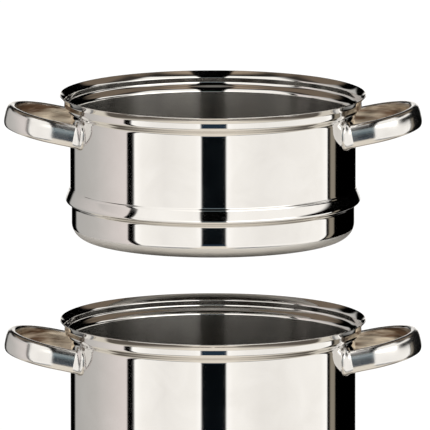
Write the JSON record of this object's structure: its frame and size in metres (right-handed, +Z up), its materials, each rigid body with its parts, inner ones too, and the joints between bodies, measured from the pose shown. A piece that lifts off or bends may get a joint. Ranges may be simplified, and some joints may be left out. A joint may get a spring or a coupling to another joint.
{
  "type": "couscous steamer pot",
  "caption": "Deep stainless cooking pot with a perforated steamer that seats in its rim by a pressed bead, each with loop handles on the sides.",
  "frame": {"origin": "middle of the underside of the pot's base cap, on the surface it stands on", "axes": "+Z up along the axis of both vessels; +X towards the right-hand handles; -Y towards the viewer"},
  "size_m": [0.3508, 0.258, 0.3721],
  "materials": {
    "polished_steel": "mirror-polished stainless steel, slightly warm",
    "satin_steel": "satin stainless steel, turned finish",
    "aluminium_core": "plain aluminium, hidden under the steel cap"
  },
  "bodies": {
    "pot": {"pot_shell": "polished_steel", "pot_base_cap": "satin_steel", "pot_base_core": "aluminium_core", "pot_handle_right": "polished_steel", "pot_handle_left": "polished_steel", "pot_bracket_right_front": "polished_steel", "pot_bracket_right_back": "polished_steel", "pot_bracket_left_front": "polished_steel", "pot_bracket_left_back": "polished_steel"},
    "steamer": {"steamer_shell": "polished_steel", "steamer_floor": "satin_steel", "steamer_handle_right": "polished_steel", "steamer_handle_left": "polished_steel", "steamer_bracket_right_front": "polished_steel", "steamer_bracket_right_back": "polished_steel", "steamer_bracket_left_front": "polished_steel", "steamer_bracket_left_back": "polished_steel"}
  },
  "joints": [
    {"name": "steamer_lift", "type": "slide", "parent": "pot", "child": "steamer", "axis": [0, 0, 1], "range_m": [-0.1126, 0]}
  ]
}
